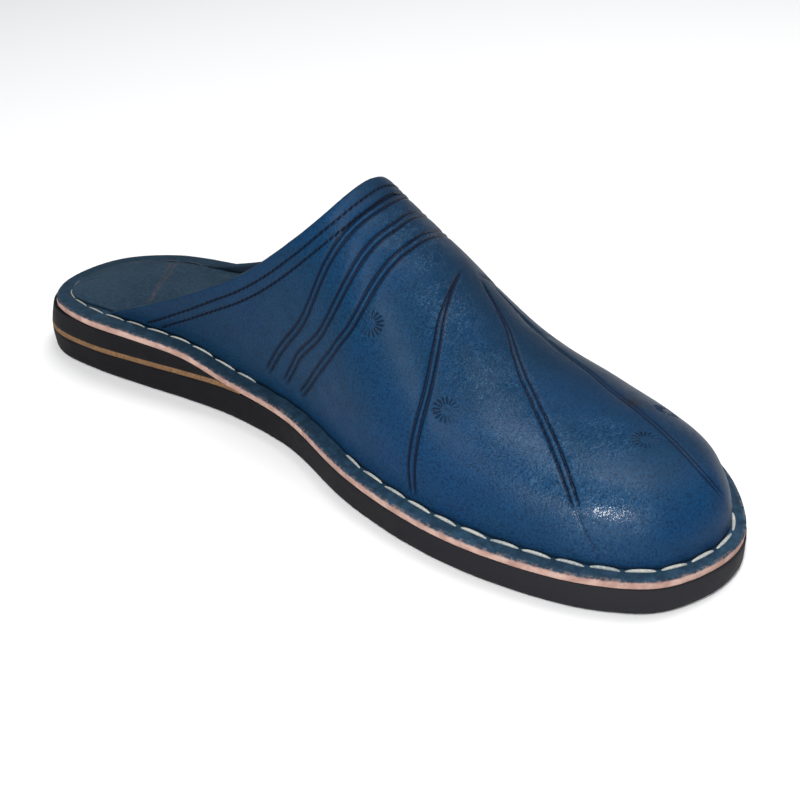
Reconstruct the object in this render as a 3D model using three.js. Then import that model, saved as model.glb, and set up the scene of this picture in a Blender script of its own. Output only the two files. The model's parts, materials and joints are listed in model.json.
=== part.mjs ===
// A men's leather babouche slipper for the left foot: an open-heeled mule on a stitched sole.
// Millimetres. +X runs from heel to toe, +Z up, and the inner (arch) side of the foot faces -Y.
import * as THREE from 'three';
import { mergeVertices } from 'three/addons/utils/BufferGeometryUtils.js';

// ---- driving sizes ----
const FACE_GAP = 0.3;          // left between two pieces that touch
const UPPER_WALL = 2.0;        // glove leather and its lining together
const MIDSOLE_THICKNESS = 3.0; // vegetable-tanned leather
const SHIM_THICKNESS = 2.2;    // leather slip between outsole and heel wedge
const FOOTBED_EDGE = 1.0;      // thickness at its edge
const FOOTBED_SHOULDER = 2.0;  // thickness one SHOULDER_WIDTH inside its edge
const FOOTBED_RISE = 0.8;      // how much thicker its middle is than its shoulder
const SHOULDER_WIDTH = 5;
const DOME_WIDTH = 30;         // a face at least this wide rises in full along its middle
const TREAD_ROUND = 2.2;       // radius of the tread's worn edge
const WEDGE_MIDDLE_X = 60;     // behind here wedge and shim are at their full thickness
const FEATHER_EDGE = 0.5;      // thickness left where wedge and shim end
const SOLE_STATIONS = 50;
const UPPER_STATIONS = 44;
const UPPER_RIBS = 28;
const RIB_CROWDING = 0.75;

// The sole, one row for each cross-section from the back of the heel to the tip of the toe.
// medial and lateral are the midsole's edges, rim the height of its top, bare the width of it that
// shows outside the upper and tread the outsole's thickness under the heel. spring is the tread's
// lift off the floor, taper how far it lies inside the rim and proud how far the stack bulges out.
const SOLE_SECTIONS = [
  { x: 4, medial: -4, lateral: -4, rim: 23, bare: 6.6, tread: 10, spring: 0.3, taper: -5.2, proud: 3 },
  { x: 12, medial: -20.2, lateral: 16.5, rim: 24.2, bare: 6.6, tread: 10.2, spring: 0, taper: -2.6, proud: 1.8 },
  { x: 34, medial: -28.2, lateral: 29.6, rim: 25.8, bare: 6.6, tread: 10.9, spring: 0, taper: 1.8, proud: 0.5 },
  { x: 60, medial: -28.2, lateral: 35.6, rim: 25.8, bare: 6.5, tread: 11.6, spring: 0, taper: 2.2, proud: 0 },
  { x: 82, medial: -26.8, lateral: 40, rim: 24.2, bare: 6.5, tread: 12.4, spring: 0, taper: 2, proud: 0 },
  { x: 102, medial: -26.2, lateral: 44.3, rim: 18.4, bare: 6.2, tread: 13.4, spring: 0, taper: 1.2, proud: 0 },
  { x: 132, medial: -31, lateral: 48.5, rim: 16.4, bare: 5.4, tread: 14, spring: 0, taper: 0.6, proud: 0 },
  { x: 167, medial: -46.2, lateral: 51.7, rim: 15, bare: 5.8, tread: 14, spring: 0, taper: 0.3, proud: 0 },
  { x: 202, medial: -54.3, lateral: 51, rim: 13.8, bare: 5.8, tread: 14, spring: 0, taper: 0, proud: 0 },
  { x: 232, medial: -54.8, lateral: 44.6, rim: 13.6, bare: 5.7, tread: 14, spring: 0, taper: 0, proud: 0.2 },
  { x: 258, medial: -50, lateral: 31.5, rim: 13.6, bare: 5.3, tread: 14, spring: 0.1, taper: -0.3, proud: 0.3 },
  { x: 278, medial: -38.8, lateral: 15.1, rim: 13.7, bare: 4.9, tread: 14, spring: 0.4, taper: -0.4, proud: 0.5 },
  { x: 290, medial: -11.2, lateral: -11.2, rim: 13.8, bare: 4.8, tread: 14, spring: 0.8, taper: -0.4, proud: 0.6 },
];

// The crown of the upper at the same cross-sections; its line goes on behind the collar.
// fullness is the exponent of the arch between crown and rim: 2 is an ellipse, more is boxier.
const CROWN_SECTIONS = [
  { x: 4, y: 4, z: 142, fullness: 2.15 },
  { x: 12, y: 4, z: 141, fullness: 2.15 },
  { x: 34, y: 5, z: 137, fullness: 2.15 },
  { x: 60, y: 6, z: 131, fullness: 2.15 },
  { x: 82, y: 6, z: 125, fullness: 2.15 },
  { x: 102, y: 6, z: 118, fullness: 2.15 },
  { x: 132, y: 5, z: 102.5, fullness: 2.15 },
  { x: 167, y: 0, z: 77.5, fullness: 2.15 },
  { x: 201, y: -5.5, z: 48, fullness: 2.15 },
  { x: 226, y: -8.5, z: 39.2, fullness: 2.15 },
  { x: 242, y: -9.5, z: 38.3, fullness: 2.25 },
  { x: 250, y: -9.7, z: 37.9, fullness: 2.4 },
  { x: 252, y: -9.7, z: 37.8, fullness: 2.5 },
];
const TOE = SOLE_SECTIONS.length - 1;

// The collar's edge. turn runs from -1 at the medial rim over 0 at the crown to 1 at the lateral rim.
const TOPLINE = [
  { turn: -1, x: 40 },
  { turn: -0.97, x: 55 },
  { turn: -0.91, x: 76 },
  { turn: -0.82, x: 94 },
  { turn: -0.68, x: 114 },
  { turn: -0.5, x: 130 },
  { turn: -0.3, x: 139.5 },
  { turn: -0.12, x: 143.5 },
  { turn: 0, x: 144.5 },
  { turn: 0.3, x: 142 },
  { turn: 0.5, x: 134 },
  { turn: 0.68, x: 120 },
  { turn: 0.82, x: 104 },
  { turn: 0.91, x: 90 },
  { turn: 0.97, x: 72 },
  { turn: 1, x: 47 },
];
const UPPER_WING_X = TOPLINE[0].x;

// ---- reading the tables ----
function columnCurves(rows) {
  const curveOf = (column) => new THREE.SplineCurve(rows.map((row, k) => new THREE.Vector2(k, row[column])));
  return Object.fromEntries(Object.keys(rows[0]).map((column) => [column, curveOf(column)]));
}

const soleCurves = columnCurves(SOLE_SECTIONS);
const crownCurves = columnCurves(CROWN_SECTIONS);
const topline = new THREE.SplineCurve(TOPLINE.map((row) => new THREE.Vector2(row.turn, row.x)));

// A station counts the table's rows: 0 is the back of the heel, TOE the tip of the toe.
const sole = (column, station) => soleCurves[column].getPoint(station / TOE).y;
const crown = (column, station) => crownCurves[column].getPoint(station / TOE).y;

// The place between low and high where a rising function reaches the wanted value.
function solve(rising, wanted, low, high) {
  if (high - low < 1e-6) return low;
  const middle = (low + high) / 2;
  return rising(middle) < wanted ? solve(rising, wanted, middle, high) : solve(rising, wanted, low, middle);
}

const stationAt = (x) => solve((station) => sole('x', station), x, 0, TOE);

function collarStation(turn) {
  const place = solve((fraction) => topline.getPoint(fraction).x, turn, 0, 1);
  return stationAt(topline.getPoint(place).y);
}

const lateralEdge = SOLE_SECTIONS.map((row) => new THREE.Vector3(row.x, row.lateral, 0));
const medialEdge = SOLE_SECTIONS.slice(1, TOE).map((row) => new THREE.Vector3(row.x, row.medial, 0));
const soleEdge = new THREE.CatmullRomCurve3([...lateralEdge, ...medialEdge.reverse()], true, 'centripetal');

// A point of the sole's outline: side is -1 medial or 1 lateral, inset is measured square to the edge.
function edgePoint(station, side, inset) {
  const lap = side > 0 ? station / (2 * TOE) : 1 - station / (2 * TOE);
  const step = 0.001;
  const point = soleEdge.getPoint(lap % 1);
  const travel = soleEdge.getPoint((lap + step) % 1).sub(soleEdge.getPoint((lap + 1 - step) % 1)).normalize();
  return new THREE.Vector3(point.x + travel.y * inset, point.y - travel.x * inset, 0);
}

// ---- solids from grids of points ----
function solidFrom(triangles) {
  const raw = new THREE.BufferGeometry();
  const positions = triangles.flatMap((triangle) => triangle.flatMap((point) => point.toArray()));
  raw.setAttribute('position', new THREE.Float32BufferAttribute(positions, 3));
  const solid = mergeVertices(raw, 1e-4);
  const corners = Array.from(solid.index.array);
  const kept = [];
  for (let k = 0; k < corners.length; k += 3) {
    const [a, b, c] = corners.slice(k, k + 3);
    if (a !== b && b !== c && c !== a) kept.push(a, b, c);
  }
  solid.setIndex(kept);
  solid.computeVertexNormals();
  return solid;
}

function addQuad(triangles, a, b, c, d) {
  triangles.push([a, b, c], [a, c, d]);
}

function addStrip(triangles, first, second) {
  for (let k = 0; k + 1 < first.length; k += 1) {
    addQuad(triangles, first[k], first[k + 1], second[k + 1], second[k]);
  }
}

// ---- sole layers ----
// One face of a layer at a station, from the medial edge to the lateral edge. Each profile row is
// { inset, z } counted in from the edge, and the same rows serve both sides. The middle stands the
// rise above the innermost row, and less where the sole narrows at heel and toe.
function faceAcross(station, profile, rise = 0) {
  const medial = profile.map(({ inset, z }) => edgePoint(station, -1, inset).setZ(z));
  const lateral = profile.map(({ inset, z }) => edgePoint(station, 1, inset).setZ(z));
  const [innerMedial, innerLateral] = [medial[medial.length - 1], lateral[lateral.length - 1]];
  const middle = innerMedial.clone().lerp(innerLateral, 0.5);
  middle.z += rise * Math.min(innerMedial.distanceTo(innerLateral) / DOME_WIDTH, 1);
  return [...medial, middle, ...lateral.reverse()];
}

// A closed layer from the heel to endStation between its lower and upper faces.
function layer(endStation, lowerFace, upperFace) {
  const triangles = [];
  const steps = Math.round((SOLE_STATIONS * endStation) / TOE);
  let lower = lowerFace(0);
  let upper = upperFace(0);
  for (let k = 1; k <= steps; k += 1) {
    const station = (endStation * k) / steps;
    const nextLower = lowerFace(station);
    const nextUpper = upperFace(station);
    const last = lower.length - 1;
    addStrip(triangles, lower, nextLower);
    addStrip(triangles, nextUpper, upper);
    addQuad(triangles, lower[0], nextLower[0], nextUpper[0], upper[0]);
    addQuad(triangles, nextLower[last], lower[last], upper[last], nextUpper[last]);
    lower = nextLower;
    upper = nextUpper;
  }
  if (endStation < TOE) addStrip(triangles, lower, upper);
  return solidFrom(triangles);
}

// Where the footbed's edge lies: inside the bare rim at the heel, inside the upper's wall further on.
function bedInset(station) {
  const covered = THREE.MathUtils.smoothstep(sole('x', station), UPPER_WING_X - 20, UPPER_WING_X);
  return sole('bare', station) + covered * (UPPER_WALL + FACE_GAP);
}

// Every layer breaks its faces along the same inner lines, so neighbours stay evenly apart.
function innerRows(station, z) {
  return [{ inset: bedInset(station), z }, { inset: bedInset(station) + SHOULDER_WIDTH, z }];
}

// How far inside the rim's edge the sole's side wall lies at a height. It bulges most at mid height.
function wallInset(station, z) {
  const fraction = z / sole('rim', station);
  const bulge = 1 - Math.abs(2 * fraction - 1) ** 3;
  return sole('taper', station) * (1 - fraction) - sole('proud', station) * bulge;
}

// A flat face at one height.
function levelFace(station, z) {
  const inset = z < midsoleBottom(station) ? wallInset(station, z) : 0;
  return faceAcross(station, [{ inset, z }, ...innerRows(station, z)]);
}

const midsoleBottom = (station) => sole('rim', station) - MIDSOLE_THICKNESS;
const outsoleTop = (station) => Math.min(sole('tread', station), midsoleBottom(station) - FACE_GAP);
const shimBottom = (station) => outsoleTop(station) + FACE_GAP;
const shimTop = (station) => Math.min(shimBottom(station) + SHIM_THICKNESS, midsoleBottom(station) - FACE_GAP);

function outsole() {
  const tread = (station) => {
    const z = Math.max(sole('spring', station), 0);
    const inset = wallInset(station, TREAD_ROUND);
    const profile = [
      { inset, z: z + TREAD_ROUND },
      { inset: inset + TREAD_ROUND * 0.3, z: z + TREAD_ROUND * 0.3 },
      { inset: inset + TREAD_ROUND, z },
    ];
    return faceAcross(station, profile);
  };
  const top = (station) => levelFace(station, outsoleTop(station));
  return layer(TOE, tread, top);
}

// The shim and the wedge end under the waist, where they have thinned out to a feather edge.
function endOf(thickness) {
  return solve((station) => FEATHER_EDGE - thickness(station), 0, stationAt(WEDGE_MIDDLE_X), TOE);
}

function heelShim() {
  const bottom = (station) => levelFace(station, shimBottom(station));
  const top = (station) => levelFace(station, shimTop(station));
  return layer(endOf((station) => shimTop(station) - shimBottom(station)), bottom, top);
}

function heelWedge() {
  const bottom = (station) => levelFace(station, shimTop(station) + FACE_GAP);
  const top = (station) => levelFace(station, midsoleBottom(station) - FACE_GAP);
  return layer(endOf((station) => midsoleBottom(station) - shimTop(station) - 2 * FACE_GAP), bottom, top);
}

function midsole() {
  const bottom = (station) => levelFace(station, midsoleBottom(station));
  const top = (station) => levelFace(station, sole('rim', station));
  return layer(TOE, bottom, top);
}

function footbed() {
  const bottom = (station) => faceAcross(station, innerRows(station, sole('rim', station) + FACE_GAP));
  const top = (station) => {
    const [outer, inner] = innerRows(station, sole('rim', station) + FACE_GAP);
    outer.z += FOOTBED_EDGE;
    inner.z += FOOTBED_SHOULDER;
    return faceAcross(station, [outer, inner], FOOTBED_RISE);
  };
  return layer(TOE, bottom, top);
}

// ---- upper ----
// A point of the upper's outer face: every rib is a superellipse from the rim up to the crown.
function upperPoint(station, turn) {
  const base = edgePoint(station, turn < 0 ? -1 : 1, sole('bare', station));
  const foot = sole('rim', station) + FACE_GAP;
  const power = 2 / crown('fullness', station);
  const angle = (Math.abs(turn) * Math.PI) / 2;
  const out = Math.sin(angle) ** power;
  const up = Math.max(Math.cos(angle), 0) ** power;
  const crownX = crown('x', station);
  const crownY = crown('y', station);
  return new THREE.Vector3(
    crownX + (base.x - crownX) * out,
    crownY + (base.y - crownY) * out,
    foot + (crown('z', station) - foot) * up,
  );
}

// Ribs crowd towards the rim, where the collar's edge runs down to it at a low angle.
function ribTurn(rib) {
  const even = (2 * rib) / UPPER_RIBS - 1;
  return THREE.MathUtils.lerp(even, Math.sin((even * Math.PI) / 2), RIB_CROWDING);
}

// The upper's outer face as a grid: rows run from the toe back to the collar, ribs from side to side.
// At the toe's tip both halves of a rib meet, so that row is zipped up along its middle.
function upperGrid() {
  const grid = [];
  for (let row = 0; row <= UPPER_STATIONS; row += 1) {
    const points = [];
    for (let rib = 0; rib <= UPPER_RIBS; rib += 1) {
      const turn = ribTurn(rib);
      const station = THREE.MathUtils.lerp(TOE, collarStation(turn), row / UPPER_STATIONS);
      points.push(upperPoint(station, turn));
    }
    grid.push(points);
  }
  return grid;
}

function gridFaces(grid) {
  const triangles = [];
  for (let row = 0; row < UPPER_STATIONS; row += 1) addStrip(triangles, grid[row], grid[row + 1]);
  return triangles;
}

// The lining's grid: each outer point moved in by the wall's thickness, along the leather's normal.
function liningGrid(grid) {
  const ribs = UPPER_RIBS + 1;
  const vertex = (row, rib) => row * ribs + (row === 0 ? Math.min(rib, UPPER_RIBS - rib) : rib);
  const corners = [];
  for (let row = 0; row < UPPER_STATIONS; row += 1) {
    for (let rib = 0; rib < UPPER_RIBS; rib += 1) {
      const [a, b] = [vertex(row, rib), vertex(row, rib + 1)];
      const [c, d] = [vertex(row + 1, rib + 1), vertex(row + 1, rib)];
      corners.push(a, b, c, a, c, d);
    }
  }
  const skin = new THREE.BufferGeometry().setFromPoints(grid.flat());
  skin.setIndex(corners);
  skin.computeVertexNormals();
  return grid.map((points, row) => points.map((point, rib) => {
    const normal = new THREE.Vector3().fromBufferAttribute(skin.attributes.normal, vertex(row, rib));
    const inner = point.clone().addScaledVector(normal, -UPPER_WALL);
    if (rib === 0 || rib === UPPER_RIBS) inner.z = point.z;
    return inner;
  }));
}

function upper() {
  const outer = upperGrid();
  const inner = liningGrid(outer);
  const triangles = gridFaces(outer);
  gridFaces(inner).forEach(([a, b, c]) => triangles.push([a, c, b]));
  addStrip(triangles, outer[UPPER_STATIONS], inner[UPPER_STATIONS]);
  const side = (grid, rib) => grid.map((points) => points[rib]);
  addStrip(triangles, side(outer, 0), side(inner, 0));
  addStrip(triangles, side(inner, UPPER_RIBS), side(outer, UPPER_RIBS));
  return solidFrom(triangles);
}

// ---- the shoe ----
const FINISH = {
  outsole: { color: 0x1d1d1f, roughness: 0.75 },
  heel_shim: { color: 0x7a5a40, roughness: 0.8 },
  heel_wedge: { color: 0x1f1f21, roughness: 0.75 },
  midsole: { color: 0xb59483, roughness: 0.8 },
  footbed: { color: 0x2c3f52, roughness: 0.6 },
  upper: { color: 0x1f4468, roughness: 0.4 },
};
const PIECES = {
  outsole,
  heel_shim: heelShim,
  heel_wedge: heelWedge,
  midsole,
  footbed,
  upper,
};

const slipper = new THREE.Group();
for (const [name, make] of Object.entries(PIECES)) {
  const material = new THREE.MeshStandardMaterial({ ...FINISH[name], metalness: 0 });
  const mesh = new THREE.Mesh(make(), material);
  mesh.name = name;
  slipper.add(mesh);
}

// The origin is on the floor, under the middle of the shoe's box.
const box = new THREE.Box3().setFromObject(slipper);
slipper.position.set(-(box.min.x + box.max.x) / 2, -(box.min.y + box.max.y) / 2, 0);

export default slipper;
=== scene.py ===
# %% [markdown]
# # A men's leather babouche for the left foot
# A babouche is a slipper with an open heel. A maker cuts the upper from soft grained leather, turns
# its collar over and stitches it twice, presses double lines and small flowers into it with warm
# tools, and sews it to a leather midsole with thick waxed thread. A rubber outsole and a heel wedge
# are glued on last. The six solid pieces come from the construction, in metres, and each one gets
# its finished leather or rubber surface here.

# %% Load the construction
import json
import math

import bpy
import numpy as np
from mathutils import Matrix, Vector, noise
from mathutils.bvhtree import BVHTree
from mathutils.kdtree import KDTree

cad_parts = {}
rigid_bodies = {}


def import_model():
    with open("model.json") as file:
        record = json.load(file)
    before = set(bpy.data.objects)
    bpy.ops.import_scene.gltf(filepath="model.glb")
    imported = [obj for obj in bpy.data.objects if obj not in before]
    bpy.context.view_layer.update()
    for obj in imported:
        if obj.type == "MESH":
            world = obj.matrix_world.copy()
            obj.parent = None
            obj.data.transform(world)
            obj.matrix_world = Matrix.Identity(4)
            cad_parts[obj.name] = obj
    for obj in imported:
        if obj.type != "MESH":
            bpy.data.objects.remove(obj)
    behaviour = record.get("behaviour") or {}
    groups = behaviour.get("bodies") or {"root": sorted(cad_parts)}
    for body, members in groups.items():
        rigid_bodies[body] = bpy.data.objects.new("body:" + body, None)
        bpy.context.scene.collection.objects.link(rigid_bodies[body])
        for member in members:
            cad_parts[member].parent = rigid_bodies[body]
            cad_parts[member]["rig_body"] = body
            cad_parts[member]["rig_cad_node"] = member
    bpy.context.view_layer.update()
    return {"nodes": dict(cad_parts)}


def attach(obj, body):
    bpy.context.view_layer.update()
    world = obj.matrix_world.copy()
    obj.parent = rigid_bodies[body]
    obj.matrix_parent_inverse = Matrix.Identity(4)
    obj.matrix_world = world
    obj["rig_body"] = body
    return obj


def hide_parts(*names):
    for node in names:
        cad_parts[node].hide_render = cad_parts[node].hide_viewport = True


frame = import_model()
MM = 0.001
print("nodes:", sorted(frame["nodes"]))

# %% [markdown]
# ## The camera, the floor and the light
# The camera comes first. It stands low over the toe on the arch side. One broad soft light hangs
# above the camera side, which gives the long sheen on the toe, and a second one behind the shoe
# draws the pale gloss along its crown.

# %% Camera
CAMERA_PLACE = Vector((0.211, -0.309, 0.268))
CAMERA_TURN = math.radians(34.0)   # about the vertical, from looking along +Y
CAMERA_DIP = math.radians(33.0)    # how far it looks down
CAMERA_ROLL = math.radians(-2.2)
CAMERA_LENS = 55.8
CAMERA_SHIFT = (0.0446, -0.0458)

camera_data = bpy.data.cameras.new("camera")
camera_data.lens = CAMERA_LENS
camera_data.shift_x, camera_data.shift_y = CAMERA_SHIFT
camera = bpy.data.objects.new("camera", camera_data)
bpy.context.scene.collection.objects.link(camera)
look_down = Matrix.Rotation(math.pi / 2 - CAMERA_DIP, 4, "X")
roll = Matrix.Rotation(CAMERA_ROLL, 4, "Z")
camera.matrix_world = Matrix.Translation(CAMERA_PLACE) @ Matrix.Rotation(CAMERA_TURN, 4, "Z") @ look_down @ roll
bpy.context.scene.camera = camera
print("camera at", tuple(round(value, 3) for value in camera.location))

# %% Floor, light and sky
FLOOR_SIZE = 6.0


def plain_material(name, colour, roughness):
    material = bpy.data.materials.new(name)
    material.use_nodes = True
    shader = material.node_tree.nodes["Principled BSDF"]
    shader.inputs["Base Color"].default_value = (*colour, 1)
    shader.inputs["Roughness"].default_value = roughness
    return material


def soft_light(name, direction, distance, size, power):
    """A square light at a distance in one direction from the shoe, facing it."""
    data = bpy.data.lights.new(name, "AREA")
    data.energy = power
    data.size = size
    light = bpy.data.objects.new(name, data)
    bpy.context.scene.collection.objects.link(light)
    away = Vector(direction).normalized()
    light.location = away * distance
    light.rotation_euler = away.to_track_quat("Z", "Y").to_euler()
    return light


bpy.ops.object.select_all(action="DESELECT")
bpy.ops.mesh.primitive_plane_add(size=FLOOR_SIZE, location=(0, 0, 0))
floor = bpy.context.object
floor.name = "floor"
floor.data.materials.append(plain_material("pale_floor", (0.81, 0.81, 0.81), 0.9))

soft_light("key", (0.2, -0.56, 0.8), 1.1, 0.09, 7)
soft_light("overhead", (0.06, 0.25, 0.96), 1.2, 0.6, 8)
soft_light("back", (0.4, 0.55, 0.72), 1.3, 0.3, 1.6)
soft_light("front", (0.35, -0.9, 0.6), 1.5, 1.2, 11)
sky = bpy.data.worlds.new("sky")
sky.use_nodes = True
sky.node_tree.nodes["Background"].inputs["Color"].default_value = (0.95, 0.97, 1.0, 1)
sky.node_tree.nodes["Background"].inputs["Strength"].default_value = 0.32
bpy.context.scene.world = sky
bpy.context.scene.view_settings.view_transform = "Standard"

# %% [markdown]
# ## Working on a copy of a solid
# A solid from the construction arrives as loose triangles. A copy has its doubled points merged and
# its triangles joined to quads, because subdivision keeps a quad grid even. Modifiers are applied
# as they are made, so that each next step sees real points.

# %% Tools for pieces
MERGE_DISTANCE = 0.01 * MM


def only(piece):
    """Makes one object the active and the only selected one."""
    bpy.ops.object.select_all(action="DESELECT")
    piece.select_set(True)
    bpy.context.view_layer.objects.active = piece


def apply_modifier(piece, kind, **settings):
    only(piece)
    modifier = piece.modifiers.new(kind, kind)
    for key, value in settings.items():
        setattr(modifier, key, value)
    bpy.ops.object.modifier_apply(modifier=modifier.name)


def subdivide_surface(piece, levels, **settings):
    apply_modifier(piece, "SUBSURF", levels=levels, render_levels=levels, **settings)


def working_copy(node, name):
    piece = frame["nodes"][node].copy()
    piece.data = piece.data.copy()
    piece.name = piece.data.name = name
    piece.parent = None
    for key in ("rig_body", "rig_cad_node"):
        del piece[key]
    bpy.context.scene.collection.objects.link(piece)
    piece.data.materials.clear()
    only(piece)
    bpy.ops.object.mode_set(mode="EDIT")
    bpy.ops.mesh.select_all(action="SELECT")
    bpy.ops.mesh.remove_doubles(threshold=MERGE_DISTANCE)
    bpy.ops.mesh.tris_convert_to_quads(face_threshold=math.pi, shape_threshold=math.pi)
    bpy.ops.mesh.select_all(action="DESELECT")
    bpy.ops.object.mode_set(mode="OBJECT")
    return piece


def points_of(piece):
    """A mesh's points as rows of x, y, z."""
    flat = np.empty(len(piece.data.vertices) * 3)
    piece.data.vertices.foreach_get("co", flat)
    return flat.reshape(-1, 3)


def normals_of(piece):
    flat = np.empty(len(piece.data.vertices) * 3)
    piece.data.vertices.foreach_get("normal", flat)
    return flat.reshape(-1, 3)


def set_points(piece, points):
    piece.data.vertices.foreach_set("co", points.ravel())
    piece.data.update()


def set_attribute(piece, name, values):
    """Stores one number a point, for a material to read."""
    attribute = piece.data.attributes.get(name) or piece.data.attributes.new(name, "FLOAT", "POINT")
    attribute.data.foreach_set("value", np.asarray(values, dtype=np.float32))


def select_faces(piece, chosen):
    """Selects these faces only. chosen is one truth value a face."""
    data = piece.data
    data.vertices.foreach_set("select", np.zeros(len(data.vertices), bool))
    data.edges.foreach_set("select", np.zeros(len(data.edges), bool))
    data.polygons.foreach_set("select", np.asarray(chosen, bool))


def face_values(piece, what, width=3):
    flat = np.empty(len(piece.data.polygons) * width)
    piece.data.polygons.foreach_get(what, flat)
    return flat.reshape(-1, width) if width > 1 else flat


print("copying tools ready")

# %% [markdown]
# ## Lines on the shoe
# Seams and stitches follow the shoe's own edges, so those edges are read from the solids once, put
# in order and smoothed. A line is kept as evenly spaced points, a fraction of a millimetre apart.

# %% Tools for lines
def in_order(edges):
    """Puts loose edges, pairs of point numbers, in order along their chain. Returns numbers and closedness."""
    neighbours = {}
    for a, b in edges:
        neighbours.setdefault(a, []).append(b)
        neighbours.setdefault(b, []).append(a)
    ends = [point for point, near in neighbours.items() if len(near) == 1]
    chain = [ends[0] if ends else edges[0][0]]
    while True:
        ahead = [point for point in neighbours[chain[-1]] if point not in chain[-2:]]
        if not ahead or ahead[0] == chain[0]:
            break
        chain.append(ahead[0])
    return chain, not ends


def smooth_line(rows, spacing, closed=False):
    """Runs a Catmull-Rom curve through rows of numbers, then spaces it evenly by its first three columns."""
    rows = np.asarray(rows, float)
    padded = np.vstack([rows[-1:], rows, rows[:2]]) if closed else np.vstack([rows[:1], rows, rows[-1:]])
    steps = np.linspace(0, 1, 17)[:-1, None]
    pieces = []
    for a, b, c, d in zip(padded, padded[1:], padded[2:], padded[3:]):
        pieces.append(
            0.5 * (2 * b + (c - a) * steps + (2 * a - 5 * b + 4 * c - d) * steps**2 + (3 * b - a - 3 * c + d) * steps**3)
        )
    curve = np.vstack(pieces + [padded[-2:-1]])
    travelled = np.concatenate([[0], np.cumsum(np.linalg.norm(np.diff(curve[:, :3], axis=0), axis=1))])
    count = max(int(travelled[-1] / spacing), 2)
    wanted = np.linspace(0, travelled[-1], count + 1)
    even = np.column_stack([np.interp(wanted, travelled, column) for column in curve.T])
    return even[:-1] if closed else even


def nearest_on(line, points):
    """For each point the distance to the line, and the number of the line's nearest point."""
    tree = KDTree(len(line))
    for number, place in enumerate(line[:, :3]):
        tree.insert(place, number)
    tree.balance()
    found = [tree.find(point) for point in points]
    return np.array([each[2] for each in found]), np.array([each[1] for each in found])


def loop_points(piece, edges):
    chain, closed = in_order(edges)
    return points_of(piece)[chain], closed


print("line tools ready")

# %% [markdown]
# ## The upper's skin
# The upper is one shell of leather and lining. Its outer skin is found as a user would, by picking
# one face on the crown and selecting linked flat faces: the sharp turn at the collar and at the
# foot stops the selection. The skin gets one material and the lining another, and the two borders
# of the skin are the collar's edge and the foot line.

# %% Select the outer skin
SHARP_TURN = math.radians(38)
VAMP_TOP = Vector((40, -4, 62)) * MM

upper = working_copy("upper", "upper_leather")
normals = face_values(upper, "normal")
centres = face_values(upper, "center")
faces_up = normals @ VAMP_TOP.normalized() > 0.5
crown_face = np.argmin(np.linalg.norm(centres - VAMP_TOP, axis=1) + (1 - faces_up))
select_faces(upper, np.arange(len(centres)) == crown_face)
bpy.ops.object.mode_set(mode="EDIT")
bpy.ops.mesh.select_mode(type="FACE")
bpy.ops.mesh.faces_select_linked_flat(sharpness=SHARP_TURN)
bpy.ops.object.mode_set(mode="OBJECT")
skin = face_values(upper, "select", 1) > 0.5
print("faces:", len(skin), "of them skin:", int(skin.sum()))

# %% Split the skin's border into collar and foot
FOOT_CLEARANCE = 0.6 * MM

upper.data.materials.append(bpy.data.materials.new("blue_leather"))
upper.data.materials.append(bpy.data.materials.new("lining_leather"))
upper.data.polygons.foreach_set("material_index", np.where(skin, 0, 1).astype(np.int32))
bpy.ops.object.mode_set(mode="EDIT")
bpy.ops.mesh.region_to_loop()
bpy.ops.object.mode_set(mode="OBJECT")
border = [tuple(edge.vertices) for edge in upper.data.edges if edge.select]
rim = working_copy("midsole", "midsole_leather")
rim_tree = BVHTree.FromPolygons([v.co for v in rim.data.vertices], [p.vertices for p in rim.data.polygons])
upper_points = points_of(upper)


def over_rim(point):
    """How far above the midsole a point lies."""
    found = rim_tree.ray_cast(Vector(point), Vector((0, 0, -1)))
    return found[3] if found[0] else 1.0


low = [over_rim(point) < FOOT_CLEARANCE for point in upper_points]
foot_points, _ = loop_points(upper, [edge for edge in border if low[edge[0]] and low[edge[1]]])
collar_points, _ = loop_points(upper, [edge for edge in border if not (low[edge[0]] and low[edge[1]])])
if foot_points[0][1] > foot_points[-1][1]:
    foot_points = foot_points[::-1]
if collar_points[0][1] > collar_points[-1][1]:
    collar_points = collar_points[::-1]
foot_line = smooth_line(foot_points, 0.5 * MM)
collar_line = smooth_line(collar_points, 0.5 * MM)
print("foot line", round(len(foot_line) * 0.5), "mm, collar", round(len(collar_line) * 0.5), "mm")

# %% [markdown]
# ## A smooth skin to press lines into
# Pressed lines are only a millimetre wide, so the skin needs points half a millimetre apart, but
# only near the lines. A very fine copy gives the smooth form. The piece itself is subdivided once
# all over and then again near its lines, and a shrinkwrap lays every new point on the fine form.

# %% The smooth form, and places on it
bpy.data.objects.remove(rim)
only(upper)
select_faces(upper, np.zeros(len(skin), bool))
data = upper.data
foot_edges = {tuple(sorted(edge)) for edge in border if low[edge[0]] and low[edge[1]]}
crease = data.attributes.new("crease_edge", "FLOAT", "EDGE")
crease.data.foreach_set("value", [float(tuple(sorted(edge.vertices)) in foot_edges) for edge in data.edges])

form = upper.copy()
form.data = upper.data.copy()
bpy.context.scene.collection.objects.link(form)
subdivide_surface(form, 3)
form_points = points_of(form)
form_skin = [polygon.vertices for polygon in form.data.polygons if polygon.material_index == 0]
form_tree = BVHTree.FromPolygons([Vector(point) for point in form_points], form_skin)


def on_skin(x, turn):
    """The place and normal where a ray from inside the shoe leaves the skin. x is in mm from the
    middle, turn in degrees from straight up, positive towards the outer side."""
    start = Vector((x, 3 - 0.1 * x, 12)) * MM
    way = Vector((0, math.sin(math.radians(turn)), math.cos(math.radians(turn))))
    return form_tree.ray_cast(start, way)[:2]


print("smooth form:", len(form_skin), "skin faces; crown at", on_skin(20, 0)[0])

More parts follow.
